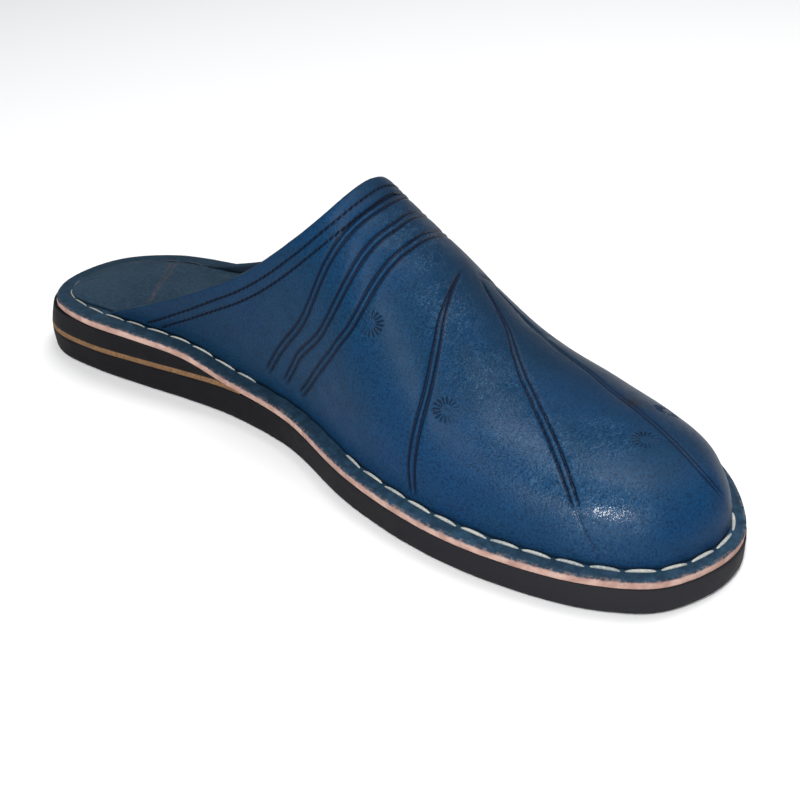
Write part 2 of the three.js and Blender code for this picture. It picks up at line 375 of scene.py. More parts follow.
# %% [markdown]
# ## Where the maker pressed the leather
# The upper carries pressed double lines: three that run over the instep behind each other, and a
# fan from the top of the vamp towards both sides and the toe. Each is a short table of places that
# the tool passed, with half the gap between its two lines. Four small flowers lie between them.

# %% Tables of lines and flowers
# x in mm, turn in degrees, gap is half the distance between the two lines in mm
TOOL_LINES = {
    "instep_back": [
        (-26, -65, 1.0), (-18, -46, 1.15), (-6, -32, 1.15), (1, -20, 1.1), (8, -5, 1.1), (8, 10, 1.1),
        (1, 28, 1.15), (-14, 48, 1.15), (-24, 64, 1.0),
    ],
    "instep_middle": [
        (-17, -67, 1.0), (-9, -47, 1.15), (3, -35, 1.15), (10, -23, 1.1), (15, -5, 1.1), (15, 8, 1.1),
        (12, 23, 1.1), (2, 42, 1.15), (-15, 66, 1.0),
    ],
    "instep_front": [
        (-9, -70, 1.0), (1, -51, 1.15), (11, -38, 1.15), (17, -29, 1.15), (21, -12, 1.1), (22, 5, 1.1),
        (20, 25, 1.1), (10, 45, 1.15), (-6, 68, 1.0),
    ],
    "fan_inner_side": [
        (34, 15, 0.1), (40, -9, 0.85), (44, -24, 1.05), (47, -42, 1.0), (48, -68, 1.2), (50, -85, 1.0),
    ],
    "fan_outer_side": [(36, 24, 0.1), (38, 54, 1.0), (36, 80, 1.1)],
    "fan_inner_toe": [
        (38, 24, 0.3), (47, 24, 0.7), (56, 19, 1.0), (70, -3, 1.15), (87, -34, 1.2), (103, -62, 1.0),
    ],
    "fan_outer_toe": [
        (39, 33, 0.3), (52, 43, 0.7), (64, 48, 0.85), (83, 46, 0.85), (101, 32, 0.85), (118, 14, 0.85),
        (130, 3, 0.85), (138, 3, 0.7),
    ],
    "toe_trace": [(101, -58, 0.05), (107, -70, 0.05), (115, -82, 0.05)],
}
FAINT_LINES = {"toe_trace": 0.4, "fan_outer_toe": 0.6}
FLOWERS = [(23, -28), (54, -43), (111, 1), (109, 50), (24, 42)]
FLOWER_RADIUS = 4.7 * MM
LINE_SPACING = 0.25


def tool_path(rows):
    """The middle of a double line: places on the skin with the half gap beside them, in metres."""
    path = []
    for x, turn, gap in smooth_line([(x, turn, gap) for x, turn, gap in rows], LINE_SPACING):
        place, _ = on_skin(x, turn)
        if place:
            path.append((*place, gap * MM))
    return smooth_line(path, LINE_SPACING * MM)


tool_paths = {name: tool_path(rows) for name, rows in TOOL_LINES.items()}
flower_places = [on_skin(x, turn) for x, turn in FLOWERS]
print({name: len(path) for name, path in tool_paths.items()})

# %% [markdown]
# ## The collar's two seams
# The collar is folded over and held by two rows of fine dark stitching. A seam is the collar's edge
# carried forward over the skin by a fixed distance, so it is found from the edge itself.

# %% Seam lines beside the collar
# mm along the collar's edge from its inner end, then the distance of each row from that edge in mm
SEAM_ROWS = [(0, 8.5, 11.5), (40, 6, 9.5), (60, 5, 8.8), (280, 4.7, 8.8)]
SEAM_STEPS = 8
SEAM_EASE = 24


def eased(rows, reach):
    """A moving average along rows of numbers."""
    padded = np.vstack([rows[:1]] * reach + [rows] + [rows[-1:]] * reach)
    window = np.ones(2 * reach + 1) / (2 * reach + 1)
    return np.column_stack([np.convolve(column, window, mode="valid") for column in padded.T])


def beside_collar(distances):
    """The collar's edge walked over the skin towards the toe, by its own distance at each point."""
    moved = []
    travel = eased(np.gradient(collar_line, axis=0), SEAM_EASE)
    for place, along, distance in zip(collar_line, travel, distances):
        spot = Vector(place)
        for _ in range(SEAM_STEPS):
            _, normal, _, _ = form_tree.find_nearest(spot)
            forward = normal.cross(Vector(along)).normalized()
            if forward.x < 0:
                forward = -forward
            spot, _, _, _ = form_tree.find_nearest(spot + forward * distance / SEAM_STEPS)
        if over_rim(spot) > 1.5 * MM:
            moved.append(spot)
    gentle = eased(np.array(moved), SEAM_EASE // 3)
    settled = [form_tree.find_nearest(Vector(place))[0] for place in gentle[::6]]
    return smooth_line(settled, 0.5 * MM)


along_collar = np.arange(len(collar_line)) * 0.5
row_at, *row_distances = np.array(SEAM_ROWS).T
seam_lines = [beside_collar(np.interp(along_collar, row_at, distances) * MM) for distances in row_distances]
print("seams", [round(len(line) * 0.5) for line in seam_lines], "mm")

# %% Subdivide the skin near its lines
FINE_REACH = 1.8 * MM
COARSE_REACH = 2.5 * MM
SEAM_REACH = 1.1 * MM


def subdivide_near(piece, places, reach):
    """Halves the skin faces whose middle lies within reach of the places."""
    tree = KDTree(len(places))
    for number, place in enumerate(places):
        tree.insert(place, number)
    tree.balance()
    skin_faces = face_values(piece, "material_index", 1) == 0
    near = np.array([tree.find(centre)[2] < reach for centre in face_values(piece, "center")])
    select_faces(piece, near & skin_faces)
    only(piece)
    bpy.ops.object.mode_set(mode="EDIT")
    bpy.ops.mesh.select_mode(type="FACE")
    bpy.ops.mesh.subdivide(number_cuts=1)
    bpy.ops.object.mode_set(mode="OBJECT")


pressed_places = np.vstack([path[::4, :3] for path in tool_paths.values()])
seam_places = np.vstack([line[::2] for line in seam_lines])
flower_centres = np.array([tuple(place) for place, _ in flower_places])
subdivide_surface(upper, 1)
subdivide_near(upper, points_of(upper)[::3], 1.0)
subdivide_near(upper, pressed_places, COARSE_REACH)
subdivide_near(upper, seam_places, SEAM_REACH)
subdivide_near(upper, pressed_places, FINE_REACH)
for reach in (FLOWER_RADIUS + 0.8 * MM, FLOWER_RADIUS + 0.4 * MM, FLOWER_RADIUS):
    subdivide_near(upper, flower_centres, reach)
apply_modifier(upper, "SHRINKWRAP", target=form, wrap_method="NEAREST_SURFACEPOINT")
bpy.data.objects.remove(form)
print("upper faces:", len(upper.data.polygons), "with", sum(len(p.vertices) - 2 for p in upper.data.polygons), "triangles")

# %% [markdown]
# ## Pressing, puckering and wear
# Every point of the skin is moved along its normal by the sum of what was done to the leather
# there: the two lines of each tool path, the rays of each flower, the seam that sinks in, the folded
# collar that stands up, the puckers between the thick stitches and a few soft creases from wear.

# %% Shape the skin
LINE_DEPTH = 0.52 * MM
LINE_WIDTH = 0.56 * MM
LINE_RIDGE = 0.18 * MM
LINE_FADE = 5 * MM
PRICKED = {"fan_inner_toe": 0.5}
FLOWER_DEPTH = 0.3 * MM
FLOWER_RAYS = 16
FLOWER_STRONG_SIDE = 2.4
STITCH_PITCH = 10.5 * MM
# x in mm, turn in degrees: where walking has creased the leather, with depth and half width in mm
WEAR_CREASES = [
    ([(119, -62), (127, -57), (135, -46)], 0.25, 1.0),
    ([(52, -14), (56, 2), (60, 16)], 0.22, 2.2),
    ([(60, -22), (65, -6), (70, 8)], 0.26, 2.4),
    ([(69, -34), (75, -18), (80, 0)], 0.2, 2.0),
    ([(50, 38), (58, 48), (64, 60)], 0.3, 2.4),
    ([(-30, -36), (-18, -44), (-8, -60)], 0.3, 4.0),
    ([(-62, -50), (-48, -52), (-34, -58)], 0.3, 4.5),
    ([(-6, -30), (4, -36), (12, -48)], 0.18, 3.0),
]
# x in mm, turn in degrees, reach in mm: where walking bends the leather into fine wrinkles, whose light strokes are
# partly wear and partly painted sheen
FLEX_AND_SHEEN_ZONES = [(22, 4, 15), (40, -4, 15), (60, -14, 17), (76, -34, 17), (92, -44, 17), (109, -55, 17), (98, -20, 14)]
SMUDGE = (99, 38)
# x in mm, turn in degrees, reach in mm: where the toe has been rubbed smooth and glossy, and where light specks are
# partly wear and partly painted sheen
POLISH_AND_PAINTED_SHEEN = [(109, -56, 13), (94, -49, 12), (80, -42, 10)]


def bell(distance, width):
    return np.exp(-((distance / width) ** 2))


points = points_of(upper)
normals = normals_of(upper)
on_outside = np.zeros(len(points), bool)
for polygon in upper.data.polygons:
    if polygon.material_index == 0:
        on_outside[list(polygon.vertices)] = True
depth = np.zeros(len(points))
pressed = np.zeros(len(points))
outer_numbers = np.flatnonzero(on_outside)
outer_points = points[outer_numbers]

prick = np.array([noise.noise(Vector(point) * 900) for point in outer_points])
for name, path in tool_paths.items():
    distance, number = nearest_on(path, outer_points)
    gap = path[number, 3]
    to_end = np.minimum(number, len(path) - 1 - number) * LINE_SPACING * MM
    fade = np.clip(to_end / LINE_FADE, 0, 1) ** 0.6 * FAINT_LINES.get(name, 1)
    roughness = PRICKED.get(name, 0.06) * np.clip(number / len(path) * 1.6, 0, 1)
    lines = bell(distance - gap, LINE_WIDTH) * fade * (1 + roughness * prick)
    ridge = bell(distance, gap * 0.6) * fade * np.clip(gap / MM - 0.4, 0, 1)
    depth[outer_numbers] += LINE_RIDGE * ridge - LINE_DEPTH * lines - 0.12 * MM * bell(distance, 4 * MM) * fade
    pressed[outer_numbers] = np.maximum(pressed[outer_numbers], lines)

for place, normal in flower_places:
    side = normal.orthogonal().normalized()
    across = np.array(normal.cross(side))
    offset = outer_points - np.array(place)
    radius = np.linalg.norm(offset, axis=1)
    angle = np.arctan2(offset @ across, offset @ np.array(side))
    ray = (0.5 + 0.5 * np.cos(FLOWER_RAYS * angle)) ** 1.6
    ray *= 0.7 + 0.3 * np.cos(angle - FLOWER_STRONG_SIDE)
    band = np.clip((radius - 1.5 * MM) / (0.5 * MM), 0, 1) * np.clip((FLOWER_RADIUS - radius) / (0.7 * MM), 0, 1)
    depth[outer_numbers] -= FLOWER_DEPTH * ray * band
    pressed[outer_numbers] = np.maximum(pressed[outer_numbers], 0.95 * ray * band)

for line in seam_lines:
    distance, _ = nearest_on(line, outer_points)
    depth[outer_numbers] -= 0.2 * MM * bell(distance, 0.9 * MM)
    pressed[outer_numbers] = np.maximum(pressed[outer_numbers], 0.7 * bell(distance, 0.6 * MM))

for rows, crease_depth, crease_width in WEAR_CREASES:
    path = tool_path([(x, turn, 0) for x, turn in rows])
    distance, number = nearest_on(path, outer_points)
    fade = np.sin(np.pi * (0.08 + 0.84 * number / len(path)))
    depth[outer_numbers] -= crease_depth * MM * bell(distance, crease_width * MM) * fade

flexed_and_painted_sheen = np.zeros(len(points))
for x, turn, reach in FLEX_AND_SHEEN_ZONES:
    place, _ = on_skin(x, turn)
    away = np.linalg.norm(outer_points - np.array(place), axis=1)
    flexed_and_painted_sheen[outer_numbers] = np.maximum(flexed_and_painted_sheen[outer_numbers], bell(away, reach * MM))
toe_drift = np.clip(outer_points[:, 0] / MM - 95, 0, 50) * 0.3
outer_side = np.clip((outer_points[:, 1] / MM + 4 + toe_drift) / 26, 0, 1)
wing = np.clip((-5 - outer_points[:, 0] / MM) / 60, 0, 1)
shaded = np.zeros(len(points))
shaded[outer_numbers] = np.maximum(outer_side, 0.6 * wing)
smudge_place, _ = on_skin(*SMUDGE)
smudged = np.zeros(len(points))
smudged[outer_numbers] = bell(np.linalg.norm(outer_points - np.array(smudge_place), axis=1), 4 * MM)
polish_and_painted_sheen = np.zeros(len(points))
for number, (x, turn, reach) in enumerate(POLISH_AND_PAINTED_SHEEN):
    place, _ = on_skin(x, turn)
    near = bell(np.linalg.norm(outer_points - np.array(place), axis=1), reach * MM)
    polish_and_painted_sheen[outer_numbers] = np.maximum(polish_and_painted_sheen[outer_numbers], near * (1 - 0.25 * number))

collar_distance = np.full(len(points), 1.0)
collar_distance[outer_numbers], _ = nearest_on(collar_line, outer_points)
foot_distance = np.full(len(points), 1.0)
foot_distance[outer_numbers], foot_number = nearest_on(foot_line, outer_points)
folded = np.clip((11.5 * MM - collar_distance[outer_numbers]) / (1.5 * MM), 0, 1)
depth[outer_numbers] += 0.15 * MM * folded
pucker = np.cos(2 * np.pi * foot_number * 0.5 * MM / STITCH_PITCH)
depth[outer_numbers] += 0.14 * MM * pucker * bell(foot_distance[outer_numbers], 4 * MM)

for number in outer_numbers:
    place = Vector(points[number])
    depth[number] += 0.35 * MM * noise.noise(place * 28) + 0.06 * MM * noise.noise(place * 90)
points += normals * depth[:, None]
set_points(upper, points)
set_attribute(upper, "pressed", pressed)
set_attribute(upper, "from_foot", foot_distance / MM)
set_attribute(upper, "from_collar", collar_distance / MM)
set_attribute(upper, "flexed_and_painted_sheen", flexed_and_painted_sheen)
set_attribute(upper, "smudged", smudged)
set_attribute(upper, "polish_and_painted_sheen", polish_and_painted_sheen)
set_attribute(upper, "shaded", shaded)
only(upper)
bpy.ops.object.shade_smooth()
print("deepest press", round(depth.min() / MM, 2), "mm")
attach(upper, "root")
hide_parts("upper")

# %% [markdown]
# ## Building materials from nodes
# A few short helpers keep each material readable: one makes a node and joins its inputs, and the
# others name the usual steps, such as noise of a size in millimetres, a soft threshold, a mix of
# two colours and a bump.

# %% Tools for materials
def material_named(name):
    material = bpy.data.materials.get(name) or bpy.data.materials.new(name)
    material.use_nodes = True
    return material


def add_node(material, kind, settings=None, **inputs):
    node = material.node_tree.nodes.new(kind)
    for key, value in (settings or {}).items():
        setattr(node, key, value)
    for key, value in inputs.items():
        join(material, value, node.inputs[key.replace("_", " ")])
    return node


def join(material, value, socket):
    if isinstance(value, bpy.types.NodeSocket):
        material.node_tree.links.new(value, socket)
    else:
        socket.default_value = value


def where(material):
    return add_node(material, "ShaderNodeTexCoord").outputs["Object"]


def noise_of(material, size_mm, detail=4.0, roughness=0.55, distortion=0.0):
    """Cloudy noise between 0 and 1, whose blotches are about size_mm across."""
    node = add_node(
        material, "ShaderNodeTexNoise", Vector=where(material), Scale=1 / (size_mm * MM), Detail=detail,
        Roughness=roughness, Distortion=distortion,
    )
    return node.outputs["Fac"]


def cells_of(material, size_mm, feature="SMOOTH_F1"):
    node = add_node(material, "ShaderNodeTexVoronoi", {"feature": feature}, Vector=where(material), Scale=1 / (size_mm * MM))
    return node.outputs["Distance"]


def attribute_of(material, name):
    return add_node(material, "ShaderNodeAttribute", {"attribute_name": name}).outputs["Fac"]


def between(material, value, low, high, to_low=0.0, to_high=1.0):
    """A soft step: to_low under low, to_high over high."""
    node = add_node(material, "ShaderNodeMapRange", {"interpolation_type": "SMOOTHSTEP"})
    for key, number in (("Value", value), ("From Min", low), ("From Max", high), ("To Min", to_low), ("To Max", to_high)):
        join(material, number, node.inputs[key])
    return node.outputs["Result"]


def reckon(material, operation, first, second=0.0):
    node = add_node(material, "ShaderNodeMath", {"operation": operation})
    join(material, first, node.inputs[0])
    join(material, second, node.inputs[1])
    return node.outputs[0]


def mix(material, factor, first, second):
    """first where factor is 0, second where it is 1. Both are colours."""
    node = add_node(material, "ShaderNodeMix", {"data_type": "RGBA"})
    for number, value in ((0, factor), (6, first), (7, second)):
        socket = node.inputs[number]
        join(material, (*value, 1.0) if isinstance(value, tuple) and len(value) == 3 else value, socket)
    return node.outputs[2]


def bump(material, height, distance_mm, strength=1.0, under=None):
    node = add_node(material, "ShaderNodeBump", Height=height, Distance=distance_mm * MM, Strength=strength)
    if under is not None:
        join(material, under, node.inputs["Normal"])
    return node.outputs["Normal"]


def finish_material(material, colour, roughness, normal=None, **constants):
    shader = material.node_tree.nodes["Principled BSDF"]
    join(material, (*colour, 1.0) if isinstance(colour, tuple) else colour, shader.inputs["Base Color"])
    join(material, roughness, shader.inputs["Roughness"])
    if normal is not None:
        join(material, normal, shader.inputs["Normal"])
    for key, value in constants.items():
        shader.inputs[key.replace("_", " ")].default_value = value
    return material


print("material tools ready")

# %% [markdown]
# ## Blue grained leather
# The leather is drum-dyed and then polished by hand, so its blue is cloudy, darker where dye
# gathered in pressed lines, and its grain is a fine pebble about 1 mm wide. Along the foot the
# blue is darkened by painted shade in the crease. Light strokes on the wrinkles of the flex zones
# and light specks on the rubbed toe are partly wear and partly painted sheen. The polish lowers
# the roughness there, and the grain breaks its highlight into sparkles.

# %% The upper's leather
blue = material_named("blue_leather")
cloud = noise_of(blue, 45, 3)
blotch = noise_of(blue, 7, 5, 0.6)
speck = noise_of(blue, 0.5, 3, 0.7)
grain = cells_of(blue, 0.6)
fine_grain = noise_of(blue, 0.35, 2, 0.6)
flexed_and_sheen_share = between(blue, attribute_of(blue, "flexed_and_painted_sheen"), 0.1, 0.9)
stretched = add_node(blue, "ShaderNodeMapping", Vector=where(blue), Rotation=(0, 0, math.radians(25)), Scale=(1.0, 0.3, 0.5))
folds = add_node(blue, "ShaderNodeTexNoise", Vector=stretched.outputs["Vector"], Scale=1 / (1.5 * MM), Detail=3.0, Distortion=1.2)
wrinkle = reckon(blue, "ABSOLUTE", reckon(blue, "SUBTRACT", folds.outputs["Fac"], 0.5))
wrinkle = between(blue, wrinkle, 0.0, 0.06)
wrinkle_and_sheen_share = reckon(blue, "MULTIPLY", flexed_and_sheen_share, between(blue, blotch, 0.3, 0.6, 0.3, 1.0))
base = mix(blue, between(blue, cloud, 0.35, 0.68), (0.0036, 0.033, 0.078), (0.0040, 0.037, 0.104))
base = mix(blue, between(blue, blotch, 0.4, 0.75, 0.0, 0.4), base, (0.005, 0.048, 0.125))
base = mix(blue, reckon(blue, "MULTIPLY", attribute_of(blue, "shaded"), 0.85), base, (0.0035, 0.0165, 0.034))
# Painted sheen, partly real wear: light strokes along the wrinkles of the flex zones and light specks on the rubbed
# toe, mixed towards a pale blue.
rubbed = reckon(blue, "MULTIPLY", wrinkle_and_sheen_share, between(blue, wrinkle, 0.9, 0.1, 0.02, 0.26))
rubbed = reckon(blue, "ADD", rubbed, reckon(blue, "MULTIPLY", attribute_of(blue, "polish_and_painted_sheen"), between(blue, speck, 0.45, 0.7, 0.06, 0.5)))
base = mix(blue, rubbed, base, (0.10, 0.2, 0.3))
base = mix(blue, between(blue, speck, 0.36, 0.64, 0.0, 0.45), base, (0.0018, 0.015, 0.042))
base = mix(blue, between(blue, grain, 0.35, 0.7, 0.0, 0.6), base, (0.0012, 0.012, 0.036))
# Painted shade: the blue darkens within 2 mm of the foot line, in the crease where the upper meets the rim.
painted_foot_crease_shade = between(blue, attribute_of(blue, "from_foot"), 0.3, 2.0, 0.7, 0.0)
base = mix(blue, painted_foot_crease_shade, base, (0.003, 0.010, 0.02))
base = mix(blue, reckon(blue, "MULTIPLY", attribute_of(blue, "smudged"), 0.7), base, (0.012, 0.010, 0.012))
in_lines = between(blue, attribute_of(blue, "pressed"), 0.1, 0.7, 0.0, 0.92)
base = mix(blue, in_lines, base, (0.0008, 0.005, 0.018))
normal = bump(blue, reckon(blue, "MULTIPLY", wrinkle, wrinkle_and_sheen_share), 0.07, 0.9)
worn_flat = between(blue, attribute_of(blue, "polish_and_painted_sheen"), 0.1, 0.9, 1.0, 0.45)
normal = bump(blue, reckon(blue, "MULTIPLY", reckon(blue, "SUBTRACT", 1.0, grain), worn_flat), 0.1, 1.0, normal)
normal = bump(blue, reckon(blue, "MULTIPLY", fine_grain, worn_flat), 0.04, 0.9, normal)
gloss = reckon(blue, "SUBTRACT", between(blue, blotch, 0.3, 0.75, 0.52, 0.46), reckon(blue, "MULTIPLY", flexed_and_sheen_share, 0.27))
gloss = reckon(blue, "SUBTRACT", gloss, reckon(blue, "MULTIPLY", attribute_of(blue, "polish_and_painted_sheen"), 0.09))
gloss = reckon(blue, "SUBTRACT", gloss, reckon(blue, "MULTIPLY", attribute_of(blue, "shaded"), 0.08))
finish_material(blue, base, gloss, normal, Specular_IOR_Level=0.105)
print("blue leather nodes:", len(blue.node_tree.nodes))

# %% The lining
lining = material_named("lining_leather")
lining_base = mix(lining, between(lining, noise_of(lining, 12, 5), 0.35, 0.7), (0.009, 0.02, 0.035), (0.018, 0.035, 0.058))
finish_material(lining, lining_base, 0.8, bump(lining, noise_of(lining, 0.8, 4, 0.6), 0.1, 0.5), Specular_IOR_Level=0.15)
print("lining nodes:", len(lining.node_tree.nodes))

# %% [markdown]
# ## The stitched rim
# The midsole stands out past the upper as a flat rim. Its top was dyed blue together with the
# upper, and the dye bled a little way down the cut edge, which is bare pinkish leather. The rim's
# outline is read from the midsole's solid, and the stitch line is that outline moved inwards.

# %% The rim's outline and the stitch line
# how far inside the rim's edge the thick stitches lie, in mm, by x in mm
STITCH_INSET = [(-142, 6.3), (-20, 5.7), (45, 5.2), (100, 4.9), (145, 4.2)]


def rim_outline():
    solid = working_copy("midsole", "outline")
    facing = face_values(solid, "normal")[:, 2]
    sides = {}
    for polygon in solid.data.polygons:
        for key in polygon.edge_keys:
            sides.setdefault(key, []).append(facing[polygon.index])
    rim_edges = [key for key, value in sides.items() if max(value) > 0.8 and min(value) < 0.6]
    outline, _ = loop_points(solid, rim_edges)
    bpy.data.objects.remove(solid)
    return smooth_line(outline, 0.5 * MM, closed=True)


def inset_line(outline, insets, lift):
    """The outline moved inwards by the insets and up by the lift."""
    travel = np.roll(outline, -1, axis=0) - np.roll(outline, 1, axis=0)
    inward = np.column_stack([-travel[:, 1], travel[:, 0]])
    inward /= np.linalg.norm(inward, axis=1)[:, None]
    middle = outline[:, :2].mean(axis=0)
    if np.sum(inward * (middle - outline[:, :2])) < 0:
        inward = -inward
    moved = outline.copy()
    moved[:, :2] += inward * insets[:, None]
    moved[:, 2] += lift
    return smooth_line(moved[::6], 0.5 * MM, closed=True)


outline = rim_outline()
inset_x, inset_mm = np.array(STITCH_INSET).T
stitch_line = inset_line(outline, np.interp(outline[:, 0] / MM, inset_x, inset_mm) * MM, 0.0)
print("outline", round(len(outline) * 0.5), "mm, stitch line", round(len(stitch_line) * 0.5), "mm")

# %% [markdown]
# ## The layers of the sole
# Each layer is cut from sheet with a knife and its edges are rasped, so it has small rounded edges
# and a slightly uneven side. A copy of each solid gets a bevel on its sharp edges first and a
# subdivision after it, which keeps those edges tight. The layers are glued, so each one grows by a
# fraction of the gap that the construction leaves, until they meet.

# %% A finished layer from a solid
GLUE_GROWTH = 0.13 * MM


def finished_layer(node, name, edge_round, levels, unevenness, ripple_mm):
    """A copy of a layer with rounded edges and a hand-cut side that wanders by the unevenness."""
    layer = working_copy(node, name)
    apply_modifier(layer, "BEVEL", width=edge_round * MM, segments=2, limit_method="ANGLE", angle_limit=math.radians(40))
    subdivide_surface(layer, levels)
    places = points_of(layer)
    facing = normals_of(layer)
    upright = facing[:, 2].copy()
    for number, (place, toward) in enumerate(zip(places, facing)):
        sideways = 1 - abs(toward[2])
        wander = noise.noise(Vector(place) / (ripple_mm * MM)) + 0.5 * noise.noise(Vector(place) / (ripple_mm * MM * 0.3))
        places[number] = place + toward * wander * unevenness * MM * sideways
    places[:, 2] += GLUE_GROWTH * np.sign(upright) * (np.abs(upright) > 0.5) * (places[:, 2] > 1 * MM)
    set_points(layer, places)
    only(layer)
    bpy.ops.object.shade_smooth()
    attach(layer, "root")
    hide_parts(node)
    return layer


# %% Outsole, shim, wedge and midsole
outsole = finished_layer("outsole", "rubber_outsole", 0.5, 1, 0.22, 9)
shim = finished_layer("heel_shim", "tan_shim", 0.25, 1, 0.12, 6)
wedge = finished_layer("heel_wedge", "rubber_wedge", 0.35, 1, 0.15, 9)
midsole = finished_layer("midsole", "leather_midsole", 0.45, 2, 0.3, 7)
print({each.name: len(each.data.polygons) for each in (outsole, shim, wedge, midsole)})

# %% Measure the rim for its dye border
midsole_points = points_of(midsole)
top_of_rim = KDTree(len(outline))
for number, place in enumerate(outline):
    top_of_rim.insert((place[0], place[1], 0), number)
top_of_rim.balance()
below = np.empty(len(midsole_points))
inside = np.empty(len(midsole_points))
for number, place in enumerate(midsole_points):
    _, nearest, away = top_of_rim.find((place[0], place[1], 0))
    below[number] = outline[nearest][2] - place[2]
    inside[number] = away
set_attribute(midsole, "below_top", below / MM)
set_attribute(midsole, "inside_edge", inside / MM)
heelward = np.clip((20 - midsole_points[:, 0] / MM) / 60, 0, 1)
set_attribute(midsole, "heelward", heelward * np.where(midsole_points[:, 1] > 0, 1.0, 0.6))
print("rim reaches", round(below.max() / MM, 1), "mm below its top")

# %% [markdown]
# ## Thick waxed stitches
# The upper is sewn to the midsole by hand with thick pale thread. Each stitch is about 9 mm long,
# swells in its middle and dives into its hole at both ends. One stitch is extruded from a circle
# ring by ring, and copies of it are bent along the stitch line.

# %% One thick stitch
THREAD_SIDES = 8
# along in mm, thickness and height as a share of the thread's width, rise in mm
STITCH_RINGS = [(-4.9, 0.3, -0.75), (-4.2, 0.62, -0.25), (-2.6, 0.95, 0.1), (0, 1.08, 0.2), (2.6, 0.92, 0.1), (4.2, 0.6, -0.25), (4.9, 0.3, -0.75)]


def thread_stitch(name, rings, width_mm, sides):
    """A stitch along +X, made ring by ring, with its ends closed."""
    bpy.ops.object.select_all(action="DESELECT")
    first_along, first_size, first_rise = rings[0]
    bpy.ops.mesh.primitive_circle_add(
        vertices=sides, radius=width_mm / 2 * MM * first_size, fill_type="NGON",
        location=(first_along * MM, 0, first_rise * MM), rotation=(0, math.pi / 2, 0),
    )
    stitch = bpy.context.object
    stitch.name = name
    bpy.ops.object.transform_apply(location=True, rotation=True, scale=True)
    bpy.ops.object.mode_set(mode="EDIT")
    for before, (along, size, rise) in zip(rings, rings[1:]):
        bpy.ops.mesh.extrude_region_move(
            TRANSFORM_OT_translate={"value": ((along - before[0]) * MM, 0, (rise - before[2]) * MM)}
        )
        share = size / before[1]
        centre = (along * MM, 0, rise * MM)
        bpy.ops.transform.resize(value=(1, share, share), center_override=centre)
    bpy.ops.mesh.select_all(action="SELECT")
    bpy.ops.mesh.normals_make_consistent(inside=False)
    bpy.ops.mesh.select_all(action="DESELECT")
    bpy.ops.object.mode_set(mode="OBJECT")
    return stitch


def lay_stitches(name, stitch, line, ups, starts, closed, jitter, sizes=None, slant=0.0):
    """Copies of a stitch bent along a line. ups holds the line's upward directions, starts the places
    of the copies' middles in metres along it, sizes how thick each copy is. They are joined to one piece."""
    spacing = np.linalg.norm(line[1] - line[0])
    pattern = points_of(stitch)
    total = len(line)
    chooser = np.random.default_rng(7)
    copies = []
    for start, thickness in zip(starts, np.ones(len(starts)) if sizes is None else sizes):
        copy = stitch.copy()
        copy.data = stitch.data.copy()
        bpy.context.scene.collection.objects.link(copy)
        size = 1 + jitter * chooser.uniform(-1, 1, 3)
        swing = slant + jitter * chooser.uniform(-1, 1)
        reach = (start + pattern[:, 0] * size[0]) / spacing
        index = np.mod(reach, total - 1) if closed else np.clip(reach, 1, total - 2)
        low = index.astype(int)
        part = (index - low)[:, None]
        high = np.mod(low + 1, total)
        centre = line[low] * (1 - part) + line[high] * part
        along = line[high] - line[low - 1]
        along /= np.linalg.norm(along, axis=1)[:, None]
        up = ups[low]
        side = np.cross(up, along)
        side /= np.linalg.norm(side, axis=1)[:, None]
        up = np.cross(along, side)
        drift = (pattern[:, 1] * size[1] * thickness + pattern[:, 0] * swing)[:, None]
        set_points(copy, centre + side * drift + up * (pattern[:, 2] * size[2] * thickness)[:, None])
        copies.append(copy)
    bpy.ops.object.select_all(action="DESELECT")
    for copy in copies:
        copy.select_set(True)
    bpy.context.view_layer.objects.active = copies[0]
    bpy.ops.object.join()
    joined = bpy.context.object
    joined.name = joined.data.name = name
    bpy.data.objects.remove(stitch)
    bpy.ops.object.shade_smooth()
    return joined


# x in mm and the stitches' thickness there; under the waist of the inner side they lie hidden in the crease
STITCH_THICKNESS = [(-150, 0.6), (-90, 0.6), (-50, 0.75), (10, 0.85), (60, 1.0), (150, 1.0)]
HIDDEN_FROM, HIDDEN_TO = -26, 14

thick = thread_stitch("thick_stitch", STITCH_RINGS, 1.2, THREAD_SIDES)
subdivide_surface(thick, 1)
turns = round(len(stitch_line) * 0.5 * MM / STITCH_PITCH)
pitch = len(stitch_line) * 0.5 * MM / turns
straight_up = np.tile([0.0, 0.0, 1.0], (len(stitch_line), 1))
lifted_line = stitch_line + np.array([0, 0, 0.35 * MM])
starts = np.arange(turns) * pitch
middles = stitch_line[(starts / (0.5 * MM)).astype(int) % len(stitch_line)] / MM
hidden = (middles[:, 1] < 0) & (middles[:, 0] > HIDDEN_FROM) & (middles[:, 0] < HIDDEN_TO)
thickness = np.interp(middles[:, 0], *np.array(STITCH_THICKNESS).T)
rim_stitches = lay_stitches(
    "rim_stitches", thick, lifted_line, straight_up, starts[~hidden], True, 0.06, thickness[~hidden]
)
sewn = points_of(rim_stitches) / MM
outer_heel = np.clip((-40 - sewn[:, 0]) / 20, 0, 1) * np.clip((sewn[:, 1] + 2) / 6, 0, 1)
set_attribute(rim_stitches, "dyed", outer_heel)
set_attribute(rim_stitches, "worn", np.clip((-55 - sewn[:, 0]) / 40, 0, 1))
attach(rim_stitches, "root")
print("thick stitches:", turns, "pitch", round(pitch / MM, 2), "mm, faces", len(rim_stitches.data.polygons))

# %% [markdown]
# ## Fine dark stitches on the collar
# The collar's two rows are machine sewn in dark thread at about ten stitches an inch. One short
# stitch is copied along both seam lines and sits on the leather's own slope.

# %% Collar stitches
FINE_RINGS = [(-1.15, 0.45, -0.35), (-0.75, 0.95, 0.02), (0.75, 0.95, 0.02), (1.15, 0.45, -0.35)]
FINE_PITCH = 2.6 * MM
FINE_SLANT = 0.22    # how far each stitch leans off its row, as a slope

